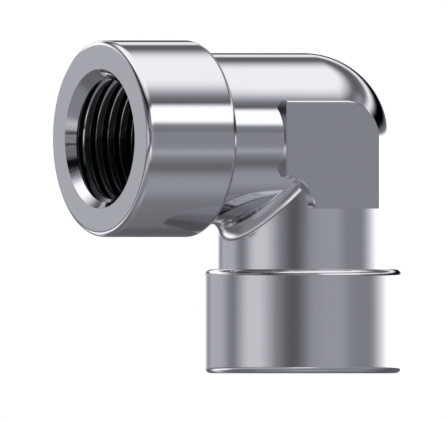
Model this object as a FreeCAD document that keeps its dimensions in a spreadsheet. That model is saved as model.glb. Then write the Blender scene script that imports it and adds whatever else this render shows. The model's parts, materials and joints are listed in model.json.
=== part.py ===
import FreeCAD, Part
import math
import os
import Sketcher

# A 90 degree elbow fitting with two equal female ports, machined from one forging.
# The frame: the origin is the centre of the lower port's face, the lower port faces -Z,
# the side port faces -X, and the two port axes cross straight above the origin.
# Sizes are millimetres and degrees. Each is written once, here, and kept in the sheet.
SIZES = (
    ("port_reach", 23.0, "crossing of the axes to each port face"),
    ("body_dia", 16.8, "round body between the collars, and the ball at the corner"),
    ("collar_rise", 1.25, "height of the collars above the round body"),
    ("collar_length", 10.2, "port face to the collar's shoulder"),
    ("collar_round", 0.6, "rounded rims of both collars"),
    ("pad_rise", 0.325, "height of the wrench flats above the round body"),
    ("pad_width", 7.45, "width of each arm of the wrench pad"),
    ("pad_reach", 6.85, "crossing of the axes to the end of each arm"),
    ("pad_bevel", 0.15, "bevel round each wrench flat"),
    ("crotch_round", 1.55, "fillet in the inner corner of the body"),
    ("tap_dia", 11.8, "tapping bore of the port thread"),
    ("sink_width", 0.95, "width of the countersink round the tapping bore"),
    ("tap_depth", 11.0, "port face to the end of the tapping bore"),
    ("passage_dia", 9.0, "drilled passage behind each port"),
    ("drill_angle", 118.0, "included angle of the drills' points"),
    ("sink_angle", 90.0, "included angle of the port countersink"),
)

# What follows from the driving sizes, as formulas on the sheet.
BODY_RADIUS = "sizes.body_dia / 2"
COLLAR_RADIUS = "sizes.body_dia / 2 + sizes.collar_rise"
FLAT_HEIGHT = "sizes.body_dia / 2 + sizes.pad_rise"
TAP_RADIUS = "sizes.tap_dia / 2"
PASSAGE_RADIUS = "sizes.passage_dia / 2"

# The ports stand a quarter turn apart, and what is turned goes all the way round.
QUARTER_TURN = 90
FULL_TURN = 360

# Two places closer than this, in millimetres, are the same place.
TOUCH = 1e-5

# How many places are looked at along an edge to tell where it lies.
LOOKS = 5


def make_sheet(doc):
    """The sheet of driving sizes: what each is, and its value under its alias."""
    sheet = doc.addObject("Spreadsheet::Sheet", "sizes")
    for row, (alias, value, meaning) in enumerate(SIZES, start=1):
        sheet.set(f"A{row}", meaning)
        sheet.set(f"B{row}", str(value))
        sheet.setAlias(f"B{row}", alias)
    doc.recompute()


def new_sketch(body, name):
    """A sketch on the plane that holds both port axes, seen from the front."""
    plane = next(item for item in body.Origin.OriginFeatures if item.Role == "XZ_Plane")
    sketch = body.newObject("Sketcher::SketchObject", name)
    sketch.AttachmentSupport = [(plane, "")]
    sketch.MapMode = "FlatFace"
    return sketch


def measure(item, formula):
    """The present value of a formula on the sheet's sizes."""
    return float(item.evalExpression(formula))


def add_dimension(sketch, kind, places, formula):
    """A dimension of the sketch, bound to a formula on the sheet's sizes."""
    constraint = Sketcher.Constraint(kind, *places, measure(sketch, formula))
    index = sketch.addConstraint(constraint)
    sketch.setExpression(f"Constraints[{index}]", formula)


def add_line(sketch, start, end):
    """A straight side of an outline. Returns its number and its two ends in order."""
    index = sketch.addGeometry(Part.LineSegment(start, end))
    return index, (1, 2)


def add_arc(sketch, start, end, centre, radius):
    """A round side of an outline, less than half a turn, with its radius as a dimension."""
    middle = FreeCAD.Vector(measure(sketch, centre[0]), measure(sketch, centre[1]), 0)
    first = start - middle
    last = end - middle
    turns_left = first.cross(last).z > 0
    low, high = (first, last) if turns_left else (last, first)
    circle = Part.Circle(middle, FreeCAD.Vector(0, 0, 1), first.Length)
    low_angle = math.atan2(low.y, low.x)
    high_angle = math.atan2(high.y, high.x)
    index = sketch.addGeometry(Part.ArcOfCircle(circle, low_angle, high_angle))
    add_dimension(sketch, "Radius", (index,), radius)
    return index, (1, 2) if turns_left else (2, 1)


def place_corner(sketch, index, end, corner):
    """Dimensions a corner from the sketch's origin. A zero puts it on the axis."""
    origin = (-1, 1)
    horizontal_axis = -1
    vertical_axis = -2
    across, up = corner
    if across == "0":
        sketch.addConstraint(Sketcher.Constraint("PointOnObject", index, end, vertical_axis))
    else:
        add_dimension(sketch, "DistanceX", (*origin, index, end), across)
    if up == "0":
        sketch.addConstraint(Sketcher.Constraint("PointOnObject", index, end, horizontal_axis))
    else:
        add_dimension(sketch, "DistanceY", (*origin, index, end), up)


def draw_outline(sketch, corners, arcs):
    """A closed outline. Corners are pairs of formulas; arcs give the sides that are round."""
    points = [FreeCAD.Vector(measure(sketch, x), measure(sketch, y), 0) for x, y in corners]
    sides = []
    for number, start in enumerate(points):
        end = points[(number + 1) % len(points)]
        if number in arcs:
            centre, radius = arcs[number]
            sides.append(add_arc(sketch, start, end, centre, radius))
        else:
            sides.append(add_line(sketch, start, end))
    for number, (index, ends) in enumerate(sides):
        last_index, last_ends = sides[number - 1]
        join = Sketcher.Constraint("Coincident", last_index, last_ends[1], index, ends[0])
        sketch.addConstraint(join)
        place_corner(sketch, index, ends[0], corners[number])


def draw_leg(body):
    """Half the section of the lower leg, from its port face to the ball at the corner."""
    sketch = new_sketch(body, "leg_outline")
    corners = (
        ("0", "0"),
        (COLLAR_RADIUS, "0"),
        (COLLAR_RADIUS, "sizes.collar_length"),
        (BODY_RADIUS, "sizes.collar_length"),
        (BODY_RADIUS, "sizes.port_reach"),
        ("0", f"sizes.port_reach + {BODY_RADIUS}"),
    )
    ball = (("0", "sizes.port_reach"), BODY_RADIUS)
    draw_outline(sketch, corners, {4: ball})
    return sketch


def draw_pad(body):
    """The L-shaped wrench pad, drawn about the crossing of the axes."""
    sketch = new_sketch(body, "pad_outline")
    sketch.setExpression(".AttachmentOffset.Base.y", "sizes.port_reach")
    half = "sizes.pad_width / 2"
    end = "sizes.pad_reach"
    hollow = f"{end} - {half}"
    corners = (
        (f"-{half}", f"-{end}"),
        (half, f"-{end}"),
        (half, "0"),
        ("0", half),
        (f"-{end}", half),
        (f"-{end}", f"-{half}"),
    )
    outer_corner = (("0", "0"), half)
    inner_corner = ((f"-{end}", f"-{end}"), hollow)
    draw_outline(sketch, corners, {2: outer_corner, 5: inner_corner})
    return sketch


def draw_port(body):
    """Half the section of what is bored out of the lower port."""
    sketch = new_sketch(body, "port_outline")
    sink = "sizes.sink_width / tan(sizes.sink_angle / 2)"
    shoulder = f"({TAP_RADIUS} - {PASSAGE_RADIUS}) / tan(sizes.drill_angle / 2)"
    point = f"{PASSAGE_RADIUS} / tan(sizes.drill_angle / 2)"
    corners = (
        ("0", "0"),
        (f"{TAP_RADIUS} + sizes.sink_width", "0"),
        (TAP_RADIUS, sink),
        (TAP_RADIUS, "sizes.tap_depth"),
        (PASSAGE_RADIUS, f"sizes.tap_depth + {shoulder}"),
        (PASSAGE_RADIUS, "sizes.port_reach"),
        ("0", f"sizes.port_reach + {point}"),
    )
    draw_outline(sketch, corners, {})
    return sketch


def turn(body, kind, name, sketch):
    """A full turn of an outline about the lower port's axis: added or cut by its kind."""
    feature = body.newObject(kind, name)
    feature.Profile = sketch
    feature.ReferenceAxis = (sketch, ["V_Axis"])
    feature.Angle = FULL_TURN
    return feature


def repeat_at_side(body, name, feature, pad_sketch):
    """Repeats a feature of the lower leg on the side leg, a quarter turn about the crossing."""
    pattern = body.newObject("PartDesign::PolarPattern", name)
    pattern.Originals = [feature]
    pattern.Axis = (pad_sketch, ["N_Axis"])
    pattern.Reversed = True
    pattern.Angle = QUARTER_TURN
    pattern.Occurrences = 2
    body.Tip = pattern


def edge_names(shape, wanted):
    """The names of a shape's edges that pass a test. The ball's poles have no length."""
    edges = enumerate(shape.Edges, start=1)
    return [f"Edge{number}" for number, edge in edges if not edge.Degenerated and wanted(edge)]


def is_collar_rim(edge, body):
    """A full circle of the collar's diameter."""
    if edge.Curve.TypeId != "Part::GeomCircle":
        return False
    return abs(edge.Curve.Radius - measure(body, COLLAR_RADIUS)) < TOUCH


def is_crease(edge, body):
    """The inner line where the two round legs meet, half-way between their axes."""
    reach = measure(body, "sizes.port_reach")
    points = edge.discretize(LOOKS)
    return all(point.x < -TOUCH and abs(point.x + reach - point.z) < TOUCH for point in points)


def is_flat_edge(edge, body):
    """An edge that lies all in one of the two wrench flats."""
    height = measure(body, FLAT_HEIGHT)
    return all(abs(abs(point.y) - height) < TOUCH for point in edge.discretize(LOOKS))


def dress(body, kind, name, wanted, size_name, formula):
    """A fillet or a chamfer on the edges of the tip that pass a test."""
    base = body.Tip
    names = edge_names(base.Shape, lambda edge: wanted(edge, body))
    if not names:
        raise RuntimeError(f"{name} finds no edge")
    feature = body.newObject(kind, name)
    feature.Base = (base, names)
    feature.setExpression(size_name, formula)
    body.Document.recompute()


def make_elbow(doc):
    """The elbow: two turned legs, wrench pads, rounded edges, and the two bored ports."""
    body = doc.addObject("PartDesign::Body", "elbow_body")
    pad_sketch = draw_pad(body)
    leg = turn(body, "PartDesign::Revolution", "lower_leg", draw_leg(body))
    repeat_at_side(body, "both_legs", leg, pad_sketch)
    pads = body.newObject("PartDesign::Pad", "wrench_pads")
    pads.Profile = pad_sketch
    pads.SideType = "Symmetric"
    pads.setExpression("Length", f"2 * ({FLAT_HEIGHT})")
    doc.recompute()
    dress(body, "PartDesign::Fillet", "crotch_fillet", is_crease, "Radius", "sizes.crotch_round")
    dress(body, "PartDesign::Fillet", "collar_rounds", is_collar_rim, "Radius", "sizes.collar_round")
    dress(body, "PartDesign::Chamfer", "pad_bevels", is_flat_edge, "Size", "sizes.pad_bevel")
    port = turn(body, "PartDesign::Groove", "lower_port", draw_port(body))
    repeat_at_side(body, "both_ports", port, pad_sketch)
    doc.recompute()
    return body


def check_document(doc):
    """Stops the build if anything in the document has failed."""
    for item in doc.Objects:
        if "Invalid" in item.State or "Error" in item.State:
            raise RuntimeError(f"{item.Name} failed: {item.State}")


def write_part(part):
    """Writes one piece to parts/ under its label, once its shape is sound."""
    shape = part.Shape
    if shape.isNull() or not shape.isValid() or len(shape.Solids) != 1:
        raise RuntimeError(f"{part.Label} is not one sound solid")
    shape.exportStep(f"parts/{part.Label}.step")
    print(f"{part.Label}: {shape.Volume:.1f} mm3, {len(shape.Faces)} faces, {shape.BoundBox}")


def main():
    doc = FreeCAD.newDocument("elbow_fitting")
    make_sheet(doc)
    elbow = make_elbow(doc)
    check_document(doc)
    os.makedirs("parts", exist_ok=True)
    write_part(elbow)


main()
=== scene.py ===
import json
import math

import bmesh
import bpy
from mathutils import Matrix, Vector

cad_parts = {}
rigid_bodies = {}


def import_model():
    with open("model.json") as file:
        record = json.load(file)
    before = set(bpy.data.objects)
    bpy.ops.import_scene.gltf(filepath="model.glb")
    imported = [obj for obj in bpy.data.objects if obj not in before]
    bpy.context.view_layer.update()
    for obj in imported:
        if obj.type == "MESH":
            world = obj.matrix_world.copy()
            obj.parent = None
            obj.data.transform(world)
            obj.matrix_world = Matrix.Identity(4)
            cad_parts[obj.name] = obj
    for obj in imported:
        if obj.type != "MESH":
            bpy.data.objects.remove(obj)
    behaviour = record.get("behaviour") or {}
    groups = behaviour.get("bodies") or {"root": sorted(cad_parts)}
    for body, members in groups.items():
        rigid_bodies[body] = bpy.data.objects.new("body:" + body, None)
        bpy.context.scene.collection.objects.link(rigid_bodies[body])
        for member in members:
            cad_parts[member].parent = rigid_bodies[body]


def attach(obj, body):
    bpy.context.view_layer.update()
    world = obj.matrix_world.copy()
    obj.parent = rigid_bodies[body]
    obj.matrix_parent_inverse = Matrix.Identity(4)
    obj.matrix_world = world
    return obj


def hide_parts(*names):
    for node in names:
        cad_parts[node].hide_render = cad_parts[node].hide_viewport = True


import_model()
bpy.context.view_layer.update()

# %% [markdown]
# The sizes of the elbow, in millimetres, about the crossing of its two port axes.
# The scene itself is in metres, so each piece is drawn in millimetres and scaled down at the end.

# %% Sizes of the elbow
MM = 0.001
CROSSING = Vector((0, 0, 23))
PORT_REACH = 23.0
BODY_R = 8.4
COLLAR_R = 9.65
COLLAR_LENGTH = 10.2
RIM_ROUND = 0.6
CROTCH_ROUND = 1.75
FLAT_HEIGHT = 8.725
PAD_HALF = 3.725
PAD_REACH = 6.85
PAD_BEVEL = 0.13
SINK_R = 6.85
TAP_R = 5.9
PASSAGE_R = 4.5
TAP_DEPTH = 11.0
DRILL_POINT = math.radians(59)
ROUND_STEPS = 256
DRILL_STEPS = 96
RIM_PARTS = 8
PAD_PARTS = 24
FILLET_CUTS = 15
print("steps round the body:", ROUND_STEPS)

# %% [markdown]
# Every turned part is drawn as one outline and spun about the upright axis. Short strips of 0.04 mm
# next to each rounding keep the reflections straight on the plain walls beside it.

# %% Small helpers for turned shapes
LEGS_SWAP = Matrix(((0, 0, 1), (0, 1, 0), (1, 0, 0))).to_4x4()
NEAR = 1e-4
KEEPER = 0.04
ON_PLANE = 1e-5


def lathe(bm, outline, steps):
    """Turns an outline of (radius, height) points all the way round the Z axis."""
    points = [bm.verts.new((radius, 0, height)) for radius, height in outline]
    lines = [bm.edges.new(pair) for pair in zip(points, points[1:])]
    bmesh.ops.spin(
        bm,
        geom=points + lines,
        cent=(0, 0, 0),
        axis=(0, 0, 1),
        dvec=(0, 0, 0),
        angle=math.tau,
        steps=steps,
        use_merge=True,
    )


def arc(centre, radius, start, end, parts):
    """Points along a round corner of an outline, between two angles in degrees."""
    angles = [math.radians(start + (end - start) * i / parts) for i in range(parts + 1)]
    return [(centre[0] + radius * math.cos(a), centre[1] + radius * math.sin(a)) for a in angles]


def close_up(bm):
    """Merges touching points and turns every face outward."""
    bmesh.ops.remove_doubles(bm, verts=bm.verts, dist=NEAR)
    bmesh.ops.recalc_face_normals(bm, faces=bm.faces)


def place(bm, name):
    """Puts a mesh, drawn about the crossing in millimetres, into the scene in metres."""
    move = Matrix.Scale(MM, 4) @ Matrix.Translation(CROSSING)
    bmesh.ops.transform(bm, matrix=move, verts=bm.verts)
    mesh = bpy.data.meshes.new(name)
    bm.to_mesh(mesh)
    bm.free()
    piece = bpy.data.objects.new(name, mesh)
    bpy.context.scene.collection.objects.link(piece)
    return piece


# %% [markdown]
# The body is one forging with two equal legs. Each leg is turned: a round body with a thicker
# collar at its mouth, whose two rims are rounded. The lower leg is turned here about the upright
# axis and cut off along the fillet of the inner corner; its twin is the same leg seen in the
# mirror plane between the two axes, so the lines of both meet exactly.

# %% The two legs with their collars
def leg_outline():
    """The lower leg's outline from the middle of its port face up to the crossing."""
    low = -PORT_REACH
    shoulder = low + COLLAR_LENGTH
    rim = COLLAR_R - RIM_ROUND
    outline = [(0, low), (rim - KEEPER, low)]
    outline += arc((rim, low + RIM_ROUND), RIM_ROUND, -90, 0, RIM_PARTS)
    outline += [(COLLAR_R, low + RIM_ROUND + KEEPER), (COLLAR_R, shoulder - RIM_ROUND - KEEPER)]
    outline += arc((rim, shoulder - RIM_ROUND), RIM_ROUND, 0, 90, RIM_PARTS)
    outline += [(rim - KEEPER, shoulder), (BODY_R, shoulder), (BODY_R, -KEEPER), (BODY_R, 0)]
    return outline


def cut_along_fillet(bm, below, clear):
    """Cuts the leg along the plane where the inner corner's fillet begins, or just below it."""
    slope = (BODY_R + CROTCH_ROUND) / BODY_R
    bmesh.ops.bisect_plane(
        bm,
        geom=bm.verts[:] + bm.edges[:] + bm.faces[:],
        plane_co=(0, 0, -below),
        plane_no=Vector((-slope, 0, 1)).normalized(),
        dist=ON_PLANE,
        clear_outer=clear,
    )


skin = bmesh.new()
lathe(skin, leg_outline(), ROUND_STEPS)
close_up(skin)
cut_along_fillet(skin, 0, clear=True)
cut_along_fillet(skin, KEEPER, clear=False)
lower_leg = skin.verts[:] + skin.edges[:] + skin.faces[:]
top_rim = [edge for edge in skin.edges if edge.is_boundary]
twin = bmesh.ops.duplicate(skin, geom=lower_leg)
twin_points = [item for item in twin["geom"] if isinstance(item, bmesh.types.BMVert)]
bmesh.ops.transform(skin, matrix=LEGS_SWAP, verts=twin_points)
print("edges round the top of each leg:", len(top_rim))

# %% [markdown]
# The outer corner is a quarter of a ball of the body's own radius. It is the lower leg's outer
# half rim turned a quarter about the axis across both legs, so the leg's lines run on over it.

# %% The ball at the outer corner
outer_rim = [edge for edge in top_rim if all(v.co.x > -NEAR for v in edge.verts)]
rim_points = [v for v in skin.verts if any(edge in outer_rim for edge in v.link_edges)]
bmesh.ops.spin(
    skin,
    geom=rim_points + outer_rim,
    cent=(0, 0, 0),
    axis=(0, 1, 0),
    dvec=(0, 0, 0),
    angle=-math.pi / 2,
    steps=ROUND_STEPS // 4,
)
bmesh.ops.remove_doubles(skin, verts=skin.verts, dist=NEAR)
print("edges still open:", sum(edge.is_boundary for edge in skin.edges))

# %% [markdown]
# The inner corner has a fillet, as if a small ball had rolled along the line where the legs meet.
# It is widest in the middle and runs out to nothing at both sides. The gap left between the legs
# is bridged, divided, and each new point is moved out to where the ball rolled past it.

# %% The fillet in the inner corner
def on_rolled_ball(point):
    """Where a point of the flat bridge lies on the fillet that a rolling ball leaves."""
    reach = BODY_R + CROTCH_ROUND
    across = point.y * reach / BODY_R
    along = math.sqrt(max(reach * reach - across * across, 0))
    centre = Vector((-along, across, -along))
    return centre + (point - centre).normalized() * CROTCH_ROUND


def sideways(edge):
    """How far an edge lies to the side, for sorting a rim from one side to the other."""
    return sum(v.co.y for v in edge.verts)


open_edges = [edge for edge in skin.edges if edge.is_boundary]
lower_rim = [e for e in open_edges if sum(v.co.x - v.co.z for v in e.verts) > 0]
upper_rim = [e for e in open_edges if sum(v.co.x - v.co.z for v in e.verts) <= 0]
lower_rim.sort(key=sideways)
upper_rim.sort(key=sideways)
bridge = bmesh.ops.bridge_loops(skin, edges=lower_rim[1:-1] + upper_rim[1:-1])
bmesh.ops.holes_fill(skin, edges=[e for e in skin.edges if e.is_boundary], sides=3)
bridged = bridge["faces"]
rims = lower_rim + upper_rim
rungs = [e for e in skin.edges if e not in rims and any(f in bridged for f in e.link_faces)]
divided = bmesh.ops.subdivide_edges(skin, edges=rungs, cuts=FILLET_CUTS, use_grid_fill=True)
for item in divided["geom_inner"]:
    if isinstance(item, bmesh.types.BMVert):
        item.co = on_rolled_ball(item.co)
close_up(skin)
print("edges still open:", sum(edge.is_boundary for edge in skin.edges), "faces:", len(skin.faces))

body = place(skin, "elbow_skin")

# %% [markdown]
# Each wrench flat is a shallow L-shaped pad forged on one side of the corner: two arms of equal
# length, a round outer corner and a round hollow in the inner one, and a small bevel round the
# flat. One L is drawn, thickened right through the body to make both pads, and joined to it.

# %% The wrench pads
def pad_outline():
    """The L of the wrench pad, as (across, up) points about the crossing."""
    hollow = PAD_REACH - PAD_HALF
    outline = [(-PAD_HALF, -PAD_REACH), (PAD_HALF, -PAD_REACH)]
    outline += arc((0, 0), PAD_HALF, 0, 90, PAD_PARTS)
    outline += [(-PAD_REACH, PAD_HALF), (-PAD_REACH, -PAD_HALF)]
    outline += arc((-PAD_REACH, -PAD_REACH), hollow, 90, 0, PAD_PARTS)[1:-1]
    return outline


pads = bmesh.new()
pad_points = [pads.verts.new((across, -FLAT_HEIGHT, up)) for across, up in pad_outline()]
front_flat = pads.faces.new(pad_points)
grown = bmesh.ops.extrude_face_region(pads, geom=[front_flat])
back_points = [item for item in grown["geom"] if isinstance(item, bmesh.types.BMVert)]
bmesh.ops.translate(pads, vec=(0, 2 * FLAT_HEIGHT, 0), verts=back_points)
close_up(pads)
flat_edges = [
    e
    for e in pads.edges
    if abs(e.verts[0].co.y - e.verts[1].co.y) < NEAR
    and max(v.co.z for v in e.verts) > NEAR - PAD_REACH
]
bmesh.ops.bevel(
    pads,
    geom=flat_edges,
    offset=PAD_BEVEL,
    offset_type="OFFSET",
    segments=1,
    profile=0.5,
    affect="EDGES",
    material=-1,
)
pad_piece = place(pads, "wrench_pads")
print("pad faces:", len(pad_piece.data.polygons))


def carve(piece, tool, operation):
    """Joins or cuts one mesh with another and keeps the result as the piece's own mesh."""
    step = piece.modifiers.new("carve", "BOOLEAN")
    step.operation = operation
    step.object = tool
    step.solver = "EXACT"
    graph = bpy.context.evaluated_depsgraph_get()
    result = bpy.data.meshes.new_from_object(piece.evaluated_get(graph))
    piece.modifiers.remove(step)
    piece.data = result
    bpy.data.objects.remove(tool)


carve(body, pad_piece, "UNION")
print("faces with the pads on:", len(body.data.polygons))

# %% [markdown]
# Each port is bored in steps: a countersink at the mouth, the tapping bore, and behind it the
# narrower passage, whose drill points meet in the corner. The bore within the thread is left
# a little narrow here, since the thread's own tool clears it to size.

# %% What the drills take out
CORE_R = 5.6
THREAD_END = 9.8
THREAD_LAP = 0.2
TAP_RELIEF = 0.03
OUTSIDE = 1


def port_outline():
    """The outline of what is drilled out of the lower port, from its mouth inward."""
    mouth = -PORT_REACH
    shoulder = (TAP_R - PASSAGE_R) / math.tan(DRILL_POINT)
    point = PASSAGE_R / math.tan(DRILL_POINT)
    return [
        (0, mouth - OUTSIDE),
        (SINK_R + OUTSIDE, mouth - OUTSIDE),
        (CORE_R, mouth + SINK_R - CORE_R),
        (CORE_R, mouth + THREAD_END - THREAD_LAP),
        (TAP_R + TAP_RELIEF, mouth + THREAD_END - THREAD_LAP),
        (TAP_R + TAP_RELIEF, mouth + TAP_DEPTH),
        (PASSAGE_R, mouth + TAP_DEPTH + shoulder),
        (PASSAGE_R, 0),
        (0, point),
    ]


drills = bmesh.new()
lathe(drills, port_outline(), DRILL_STEPS)
close_up(drills)
drill_piece = place(drills, "port_drills")

# %% [markdown]
# The thread is a right-hand G1/4: 19 turns to the inch, flanks at 27.5 degrees, rounded crests
# and roots, cut by a tap whose first teeth taper, so the grooves run out gradually at the end.
# Its tool is drawn as the zigzag outline of several turns, spun once round while it climbs by
# one pitch, so that each turn runs on into the next.

# %% The thread in the ports
PITCH = 1.337
FLANK = math.radians(27.5)
ROOT_R = 13.157 / 2
CREST_ROUND = 0.07
ROOT_ROUND = 0.18
FIRST_GROOVE = 1.22
SHARP_R = 6.7925
CORNER_PARTS = 4
TURNS = range(-2, 8)
RUN_OUT = 1.6
RUN_OUT_SLOPE = 0.6
TAP_START = 0.8


def groove_outline(depth):
    """One groove of the thread as (radius, depth) points, centred on a depth from the face."""
    lean = math.pi / 2 - FLANK
    crest_reach = CREST_ROUND * math.tan(lean / 2)
    root_reach = ROOT_ROUND * math.tan(lean / 2)
    mouth = (SHARP_R - TAP_R) * math.tan(FLANK) + crest_reach
    root = (SHARP_R - ROOT_R) * math.tan(FLANK) - root_reach
    half = []
    for i in range(CORNER_PARTS + 1):
        turned = lean * i / CORNER_PARTS
        away = mouth - CREST_ROUND * math.sin(turned)
        half.append((TAP_R + CREST_ROUND * (1 - math.cos(turned)), away))
    for i in range(CORNER_PARTS + 1):
        turned = lean * (1 - i / CORNER_PARTS)
        away = max(root, 0) + ROOT_ROUND * math.sin(turned)
        half.append((ROOT_R - ROOT_ROUND * (1 - math.cos(turned)), away))
    before = [(radius, depth - away) for radius, away in half]
    after = [(radius, depth + away) for radius, away in reversed(half)]
    return before + after


def tap_outline():
    """The outline of all the thread's grooves along one line of the wall."""
    outline = []
    for turn in TURNS:
        outline += groove_outline(FIRST_GROOVE + turn * PITCH)
    return outline


tap = bmesh.new()
zigzag = [tap.verts.new((0, radius, depth - PORT_REACH)) for radius, depth in tap_outline()]
zigzag_lines = [tap.edges.new(pair) for pair in zip(zigzag, zigzag[1:])]
bmesh.ops.spin(
    tap,
    geom=zigzag + zigzag_lines,
    cent=(0, 0, 0),
    axis=(0, 0, 1),
    dvec=(0, 0, PITCH / (ROUND_STEPS // 2)),
    angle=math.tau,
    steps=ROUND_STEPS // 2,
)
bmesh.ops.remove_doubles(tap, verts=tap.verts, dist=1e-3)
print("open edges of the thread:", sum(e.is_boundary for e in tap.edges))
for v in tap.verts:
    depth = v.co.z + PORT_REACH
    past_full_depth = depth - (THREAD_END - RUN_OUT)
    limit = max(TAP_R, min(ROOT_R, ROOT_R - past_full_depth * RUN_OUT_SLOPE))
    radius = math.hypot(v.co.x, v.co.y)
    if radius > limit:
        v.co.x *= limit / radius
        v.co.y *= limit / radius
for height, up in ((-PORT_REACH - TAP_START, False), (-PORT_REACH + THREAD_END, True)):
    bmesh.ops.bisect_plane(
        tap,
        geom=tap.verts[:] + tap.edges[:] + tap.faces[:],
        plane_co=(0, 0, height),
        plane_no=(0, 0, 1) if up else (0, 0, -1),
        dist=ON_PLANE,
        clear_outer=True,
    )
bmesh.ops.holes_fill(tap, edges=[e for e in tap.edges if e.is_boundary], sides=0)
close_up(tap)
print("open edges of the capped thread:", sum(e.is_boundary for e in tap.edges), len(tap.faces))
tap_piece = place(tap, "port_tap")


def side_copy(tool, name):
    """The same tool set up for the side port, a quarter turn about the crossing."""
    mesh = tool.data.copy()
    middle = Matrix.Translation(CROSSING * MM)
    mesh.transform(middle @ Matrix.Rotation(math.pi / 2, 4, "Y") @ middle.inverted())
    piece = bpy.data.objects.new(name, mesh)
    bpy.context.scene.collection.objects.link(piece)
    return piece


for tool in (drill_piece, side_copy(drill_piece, "side_drills")):
    carve(body, tool, "DIFFERENCE")
for tool in (tap_piece, side_copy(tap_piece, "side_tap")):
    carve(body, tool, "DIFFERENCE")
print("faces with both ports cut:", len(body.data.polygons))

# %% [markdown]
# Blender's operators give the same points and faces in each run, but not in the same order. They
# are stored again by where they lie, so that the finished mesh is the same every time.

# %% One order of points and faces
def in_order(mesh):
    """Stores a mesh's points and faces in the order of their places."""
    places = [tuple(c + 0.0 for c in v.co) for v in mesh.vertices]
    order = sorted(range(len(places)), key=places.__getitem__)
    number = {old: new for new, old in enumerate(order)}
    rings = sorted([number[i] for i in face.vertices] for face in mesh.polygons)
    mesh.clear_geometry()
    mesh.from_pydata([places[i] for i in order], [], rings)


in_order(body.data)
SHARPEST_ROUND = math.radians(32)
body.data.shade_smooth()
body.data.set_sharp_from_angle(angle=SHARPEST_ROUND)

# %% [markdown]
# The whole elbow is polished and nickel plated, so it shows little colour of its own: it is a
# cool grey mirror, and what the eye reads as its shape is the studio bent round it. The polish
# has a faint unevenness left by the wheel, too small to blur the mirror.

# %% How a finish is made
def mix(nodes, links, share, first, second):
    """A mix of two colours, plain ones or other nodes' outputs. Returns its output."""
    node = nodes.new("ShaderNodeMix")
    node.data_type = "RGBA"
    links.new(share, node.inputs[0])
    for socket, colour in ((node.inputs[6], first), (node.inputs[7], second)):
        if isinstance(colour, tuple):
            socket.default_value = (*colour, 1)
        else:
            links.new(colour, socket)
    return node.outputs[2]


def spread(nodes, links, value, source, target):
    """Maps a value from one range to another, kept within it. Returns its output."""
    node = nodes.new("ShaderNodeMapRange")
    node.inputs["From Min"].default_value, node.inputs["From Max"].default_value = source
    node.inputs["To Min"].default_value, node.inputs["To Max"].default_value = target
    links.new(value, node.inputs["Value"])
    return node.outputs["Result"]


def metal(name, metallic, gloss, grain, colours, lighter_above=None):
    """A metal with a fine unevenness, and if asked another colour above a height, for painted shade
    that is lighter higher up.
    """
    material = bpy.data.materials.new(name)
    material.use_nodes = True
    nodes = material.node_tree.nodes
    links = material.node_tree.links
    shader = nodes["Principled BSDF"]
    shader.inputs["Metallic"].default_value = metallic
    place_in = nodes.new("ShaderNodeTexCoord")
    cloud = nodes.new("ShaderNodeTexNoise")
    cloud.inputs["Scale"].default_value = grain
    cloud.inputs["Detail"].default_value = 4
    links.new(place_in.outputs["Object"], cloud.inputs["Vector"])
    rough = spread(nodes, links, cloud.outputs["Fac"], (0, 1), gloss)
    links.new(rough, shader.inputs["Roughness"])
    colour = mix(nodes, links, cloud.outputs["Fac"], *colours)
    if lighter_above:
        upper_colour, heights = lighter_above
        height = nodes.new("ShaderNodeSeparateXYZ")
        links.new(place_in.outputs["Object"], height.inputs["Vector"])
        heights = tuple((CROSSING.z + rise) * MM for rise in heights)
        share = spread(nodes, links, height.outputs["Z"], heights, (0, 1))
        colour = mix(nodes, links, share, colour, upper_colour)
    links.new(colour, shader.inputs["Base Color"])
    return material


# %% [markdown]
# The ports' walls are nearly black in the photograph, a little paler in the upper half of the side
# port, with a bright line on each thread flank that faces the mouth. One view can't tell why. That
# dark is painted shade here: the walls get a near-black colour, lighter in the upper half, and the
# flanks facing the mouth a dimmed plate, darker lower down, that still mirrors the bright lines. A
# real port may be plain metal that is dark because it mirrors itself.

# %% The three finishes
NICKEL = ((0.552, 0.560, 0.578), (0.572, 0.580, 0.596))
POLISH = (0.05, 0.09)
POLISH_GRAIN = 220
# Painted shade: the bored walls get a near-black colour, a little lighter in their upper half.
BORE_SHADE_COLOURS = ((0.020, 0.027, 0.029), (0.030, 0.040, 0.043))
BORE_LIGHTER_ABOVE = ((0.080, 0.084, 0.087), (0, 0.2))
BORED = (0.08, 0.12)
BORED_GRAIN = 300
# Painted shade on the flanks that face the mouth: a dimmed plate colour, full plate above a height.
FLANK_SHADE_COLOURS = ((0.125, 0.130, 0.138), (0.145, 0.150, 0.158))
FLANK_PLATE_ABOVE = (NICKEL[0], (-3, 0.6))
PLATE = metal("nickel_plate", 1.0, POLISH, POLISH_GRAIN, NICKEL)
BORE_PAINTED_SHADE = metal("bore_painted_shade", 0.5, BORED, BORED_GRAIN, BORE_SHADE_COLOURS, BORE_LIGHTER_ABOVE)
FLANKS_PAINTED_SHADE = metal("thread_flanks_painted_shade", 1.0, POLISH, POLISH_GRAIN, FLANK_SHADE_COLOURS, FLANK_PLATE_ABOVE)
SINK_EDGE = 0.01
FACING = 0.85
ROOT_BAND = 0.12
body.data.materials.clear()
for finish in (PLATE, BORE_PAINTED_SHADE, FLANKS_PAINTED_SHADE):
    body.data.materials.append(finish)


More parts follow.
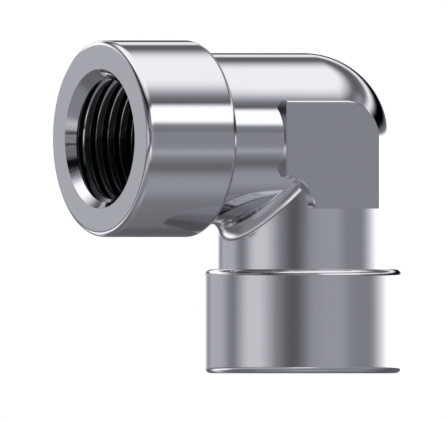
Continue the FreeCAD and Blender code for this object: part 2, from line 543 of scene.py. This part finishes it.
def finish_of(face):
    """Which of the three finishes a face has: 0 outside, 1 on a bored wall in painted shade, 2 on a
    flank with dimmed plate.
    """
    point = face.center / MM - CROSSING
    lower = (math.hypot(point.x, point.y), point.z, -face.normal.z)
    side = (math.hypot(point.y, point.z), point.x, -face.normal.x)
    for across, depth, to_mouth in (lower, side):
        depth += PORT_REACH
        in_wall = SINK_R + SINK_EDGE < across + depth and across < ROOT_R + NEAR
        if in_wall and depth < PORT_REACH + PASSAGE_R / 2:
            on_thread = across < ROOT_R - ROOT_BAND and depth < THREAD_END
            return 2 if on_thread and to_mouth > FACING else 1
    return 0


for face in body.data.polygons:
    face.material_index = finish_of(face)
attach(body, "root")
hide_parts("elbow_body")

# %% [markdown]
# A polished part can only be as good as what it mirrors. The studio is a grey room with a lit
# ceiling, long soft boxes and dark flags, each described by where it stands round the part: how
# many degrees round from the camera's side, and how many above the horizon. The camera itself
# sees a plain white backdrop.

# %% One soft panel of the studio
TOWARD_CAMERA = Vector((-0.5, -math.sqrt(0.75), 0))
CAMERA_RIGHT = Vector((math.sqrt(0.75), -0.5, 0))


def linear(grey):
    """The light that a screen grey from 0 to 255 stands for."""
    grey = grey / 255
    return grey / 12.92 if grey <= 0.04045 else ((grey + 0.055) / 1.055) ** 2.4


world = bpy.data.worlds.new("studio")
bpy.context.scene.world = world
world.use_nodes = True
air = world.node_tree.nodes
wires = world.node_tree.links


def math_node(operation, *values):
    """A math node with numbers or other nodes' outputs as its inputs. Returns its output."""
    node = air.new("ShaderNodeMath")
    node.operation = operation
    for socket, value in zip(node.inputs, values):
        if isinstance(value, (int, float)):
            socket.default_value = value
        else:
            wires.new(value, socket)
    return node.outputs[0]


def along(direction):
    """How far the ray goes along a direction."""
    node = air.new("ShaderNodeVectorMath")
    node.operation = "DOT_PRODUCT"
    node.inputs[1].default_value = direction
    wires.new(ray.outputs["Generated"], node.inputs[0])
    return node.outputs["Value"]


def falloff(distance, half, soft):
    """1 within half a panel's size, falling smoothly to 0 across its soft edge."""
    node = air.new("ShaderNodeMapRange")
    node.interpolation_type = "SMOOTHSTEP"
    node.inputs["From Min"].default_value = math.radians(half - soft)
    node.inputs["From Max"].default_value = math.radians(half + soft)
    node.inputs["To Min"].default_value = 1
    node.inputs["To Max"].default_value = 0
    wires.new(distance, node.inputs["Value"])
    return node.outputs["Result"]


ray = air.new("ShaderNodeTexCoord")
bearing = math_node("ARCTAN2", along(CAMERA_RIGHT), along(TOWARD_CAMERA))
height = math_node("ARCSINE", along((0, 0, 1)))


def soft_panel(room, where, size, soft, grey):
    """Sets a panel into the room: its place, half its size and its edges are in degrees."""
    away = math_node("SUBTRACT", bearing, math.radians(where[0]))
    turned = math_node("WRAP", away, math.pi, -math.pi)
    raised = math_node("SUBTRACT", height, math.radians(where[1]))
    wide = falloff(math_node("ABSOLUTE", turned), size[0], soft[0])
    high = falloff(math_node("ABSOLUTE", raised), size[1], soft[1])
    seen = math_node("MULTIPLY", wide, high)
    change = math_node("SUBTRACT", linear(grey), room)
    return math_node("ADD", room, math_node("MULTIPLY", seen, change))


# %% [markdown]
# The panels were placed by measure for this one photograph. Each has a name, its place
# (degrees round from the camera's side, degrees up), half its width and height, the softness of
# its edges, and the screen grey that the plate shows where it mirrors the panel. The room behind
# them is a plain grey, a little lighter on the camera's side. Later panels lie over earlier ones.

# %% The room and its panels
PANELS = (
    ("ceiling", (0, 90), (180, 41.2), (1, 8.8), 238),
    ("dimmer ceiling in front", (20, 52), (42, 4), (14, 5), 202),
    ("bright ceiling on the left", (-80, 57), (25, 7), (10, 6), 258),
    ("gloom under the ceiling", (0, 36.3), (180, 3), (1, 5.8), 84),
    ("floor in the camera's shadow", (36, -30), (40, 7), (12, 6), 100),
    ("paler floor on the left", (-32, -44), (22, 13), (16, 12), 124),
    ("paler floor on the right", (72, -46), (24, 10), (16, 8), 142),
    ("cool floor below", (15, -67), (46, 12), (22, 9), 152),
    ("darker floor behind left", (-118, -46), (34, 14), (14, 8), 98),
    ("dark floor behind", (170, -24), (52, 17), (14, 6), 84),
    ("low band in front", (-14, -17.5), (52, 6), (16, 4.5), 158),
    ("low band on the right", (60, -13.6), (34, 3), (14, 4), 156),
    ("wall behind left", (-138, 3), (36, 9), (12, 5), 165),
    ("low card behind left", (-138, -28), (32, 5), (12, 4), 166),
    ("low band on the left", (-62, -17), (76, 4), (14, 4), 179),
    ("low box behind left", (-124, -20.5), (22, 5.5), (12, 4.5), 250),
    ("wall on the right", (36, 0), (22, 8), (20, 5), 148),
    ("main box, right of the camera", (49, 24.8), (27, 8.5), (8, 3.2), 262),
    ("gap under it", (68, 9), (18, 2), (12, 3), 110),
    ("its outer wing", (84, 25.5), (18, 5.5), (8, 3.5), 250),
    ("dim card beside it", (106, 33), (13, 4), (8, 4.5), 138),
    ("long strip behind right", (140, 22.8), (58, 3.1), (8, 3.6), 229),
    ("its raised end", (178, 25.8), (13, 4), (10, 2.5), 214),
    ("fill box behind left", (-137, 22), (28, 8), (12, 5), 258),
    ("its inner wing", (-108, 17), (8, 4), (8, 4), 200),
    ("dark flag, left of the camera", (-44, 29), (35, 8), (8, 6), 8),
    ("its far end", (-83, 28), (9, 8), (5, 5), 44),
    ("its raised corner", (-7, 32.5), (9, 5), (5, 4), 52),
    ("grey flag under it", (-56, 14), (26, 5), (9, 5), 74),
    ("black flag behind right", (150.5, 11.2), (31, 5.2), (4, 2.2), 2),
    ("black flag behind left", (-158, 11), (9, 2.2), (5, 1.6), 20),
    ("grey flag beside it", (95, 8.5), (24, 5), (6, 3), 55),
    ("grey card on the right", (70, 0), (13, 6), (12, 4), 124),
    ("white sweep behind right", (148, -1), (42, 3), (24, 1.8), 275),
    ("pale card on the left", (-60, 0), (18, 6), (14, 4), 193),
    ("dim card behind left", (-147, 0), (7, 6), (6, 4), 138),
    ("camera's own shadow", (-12, 2), (14, 8), (13, 5), 86),
    ("low box in front", (-1, -12), (14, 4.6), (9, 3.5), 234),
    ("dark line over the low boxes", (-66, -7), (54, 1.6), (20, 1.6), 62),
    ("dark line left of the camera", (-34, 6.8), (10, 1.2), (6, 1.4), 36),
)
ROOM = linear(118)
ROOM_IN_FRONT = linear(136)
front_lift = math_node("MULTIPLY", along(TOWARD_CAMERA), ROOM_IN_FRONT - ROOM)
room = math_node("ADD", front_lift, ROOM)
for name, where, size, soft, grey in PANELS:
    room = soft_panel(room, where, size, soft, grey)
print("panels in the studio:", len(PANELS))

# %% [markdown]
# The plate mirrors only part of the light, so the room is as much brighter than the greys above.
# Dim parts of it are bluish and the brightest nearly neutral. The camera sees white instead.

# %% The colour of the light and the white backdrop
DIM, BRIGHT = 0.03, 0.7
COOL_LIGHT = (1.667, 1.742, 1.900)
NEUTRAL_LIGHT = (1.735, 1.742, 1.762)
brightness = spread(air, wires, room, (DIM, BRIGHT), (0, 1))
tone = air.new("ShaderNodeVectorMath")
tone.operation = "SCALE"
wires.new(mix(air, wires, brightness, COOL_LIGHT, NEUTRAL_LIGHT), tone.inputs[0])
wires.new(room, tone.inputs["Scale"])
backdrop = air["Background"]
backdrop.inputs["Strength"].default_value = 1.0
seen_by = air.new("ShaderNodeLightPath")
white_behind = mix(air, wires, seen_by.outputs["Is Camera Ray"], tone.outputs["Vector"], (1, 1, 1))
wires.new(white_behind, backdrop.inputs["Color"])

# %% [markdown]
# The elbow stands on its lower port's face on a plain pale sweep of paper. The paper is seen by
# the camera and takes the elbow's shadow; the metal mirrors the room below the horizon instead.
# One broad lamp overhead lights the paper and stays out of the mirror.

# %% The floor and its lamp
paper = bmesh.new()
bmesh.ops.create_grid(paper, x_segments=1, y_segments=1, size=0.9)
floor_mesh = bpy.data.meshes.new("floor")
paper.to_mesh(floor_mesh)
paper.free()
floor = bpy.data.objects.new("floor", floor_mesh)
bpy.context.scene.collection.objects.link(floor)
floor.visible_glossy = False

PAPER_SHADES = (0.80, 0.83)
PAPER_GRAIN = 900
pale = bpy.data.materials.new("pale_paper")
pale.use_nodes = True
pale_nodes = pale.node_tree.nodes
pale_links = pale.node_tree.links
matt = pale_nodes["Principled BSDF"]
matt.inputs["Roughness"].default_value = 0.9
matt.inputs["Specular IOR Level"].default_value = 0.0
grain = pale_nodes.new("ShaderNodeTexNoise")
grain.inputs["Scale"].default_value = PAPER_GRAIN
where_on = pale_nodes.new("ShaderNodeTexCoord")
pale_links.new(where_on.outputs["Object"], grain.inputs["Vector"])
shade = spread(pale_nodes, pale_links, grain.outputs["Fac"], (0, 1), PAPER_SHADES)
pale_links.new(shade, matt.inputs["Base Color"])
floor_mesh.materials.append(pale)

lamp = bpy.data.objects.new("overhead_lamp", bpy.data.lights.new("overhead_lamp", "AREA"))
bpy.context.scene.collection.objects.link(lamp)
lamp.data.shape = "DISK"
lamp.data.size = 0.5
lamp.data.energy = 1.2
lamp.location = (-0.05, -0.1, 0.45)
lamp.visible_glossy = False
print("lamp height in metres:", lamp.location.z)

# %% [markdown]
# The photograph is square-on to the horizon and turned 30 degrees, without perspective. Its thread
# crests give 10.2 pixels to a millimetre.

# %% The camera
PIXELS_PER_MM = 10.2
PHOTO_WIDTH = 447
FRAME_MIDDLE = Vector((-6.746, 3.895, 15.918))
CAMERA_AWAY = 0.3
camera = bpy.data.objects.new("camera", bpy.data.cameras.new("camera"))
bpy.context.scene.collection.objects.link(camera)
bpy.context.scene.camera = camera
camera.data.type = "ORTHO"
camera.data.ortho_scale = PHOTO_WIDTH / PIXELS_PER_MM * MM
camera.location = FRAME_MIDDLE * MM + TOWARD_CAMERA * CAMERA_AWAY
camera.rotation_euler = (math.radians(90), 0, math.radians(-30))

bpy.context.scene.view_settings.view_transform = "Standard"

# %% [markdown]
# The scene is brought up to date at the end.

# %% Bringing the scene up to date
bpy.context.view_layer.update()
